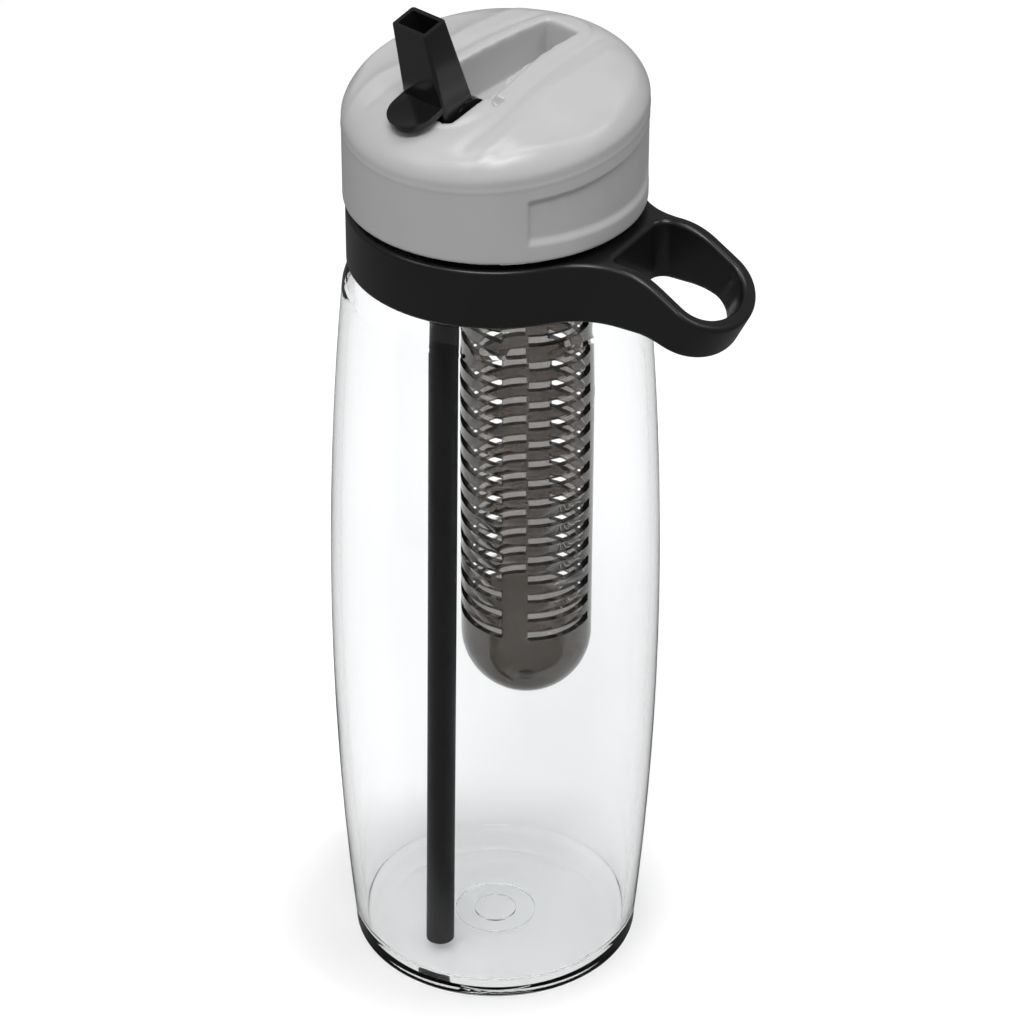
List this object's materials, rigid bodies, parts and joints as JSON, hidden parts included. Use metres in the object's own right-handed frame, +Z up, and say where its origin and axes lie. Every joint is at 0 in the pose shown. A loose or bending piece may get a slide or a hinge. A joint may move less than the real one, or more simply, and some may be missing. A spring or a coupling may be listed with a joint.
{
  "type": "fruit infuser water bottle",
  "caption": "Clear drinking bottle with a screw lid, a flip-up spout and straw, a hanging slotted fruit basket, and a swivelling carry loop at the neck.",
  "frame": {"origin": "middle of the ring that the bottle stands on, on the bottle's axis", "axes": "+Z up the bottle's axis; the lid's slot and the spout's swing lie in XZ, with the spout leaning to -X at rest; the carry loop points mostly to -Y"},
  "size_m": [0.0852, 0.1111, 0.2781],
  "materials": {
    "clear_plastic": "polished clear copolyester",
    "black_plastic": "satin moulded",
    "grey_plastic": "satin moulded",
    "silicone": "matt translucent silicone",
    "gloss_black_plastic": "polished",
    "smoke_plastic": "polished smoke tint"
  },
  "bodies": {
    "bottle": {"bottle_shell": "clear_plastic"},
    "carry_ring": {"carry_loop": "black_plastic"},
    "lid_seat": {"lid_gasket": "silicone"},
    "lid": {"lid_cap": "grey_plastic", "inner_plug": "grey_plastic", "vent_valve": "silicone", "spout_seal": "silicone", "straw": "black_plastic"},
    "spout": {"mouthpiece": "gloss_black_plastic"},
    "infuser": {"infuser_basket": "smoke_plastic"}
  },
  "joints": [
    {"name": "ring_swivel", "type": "hinge", "parent": "bottle", "child": "carry_ring", "pos_m": [0, 0, 0.212], "axis": [0, 0, 1], "continuous": true},
    {"name": "lid_lift", "type": "slide", "parent": "bottle", "child": "lid_seat", "axis": [0, 0, 1], "range_m": [0, 0.25]},
    {"name": "lid_turn", "type": "hinge", "parent": "lid_seat", "child": "lid", "pos_m": [0, 0, 0.24], "axis": [0, 0, 1], "range_deg": [0, 450]},
    {"name": "spout_flip", "type": "hinge", "parent": "lid", "child": "spout", "pos_m": [-0.0155, 0, 0.2496], "axis": [0, 1, 0], "range_deg": [0, 101]},
    {"name": "infuser_turn", "type": "hinge", "parent": "lid", "child": "infuser", "pos_m": [0.0118, 0, 0.2], "axis": [0, 0, 1], "range_deg": [0, 360]}
  ]
}
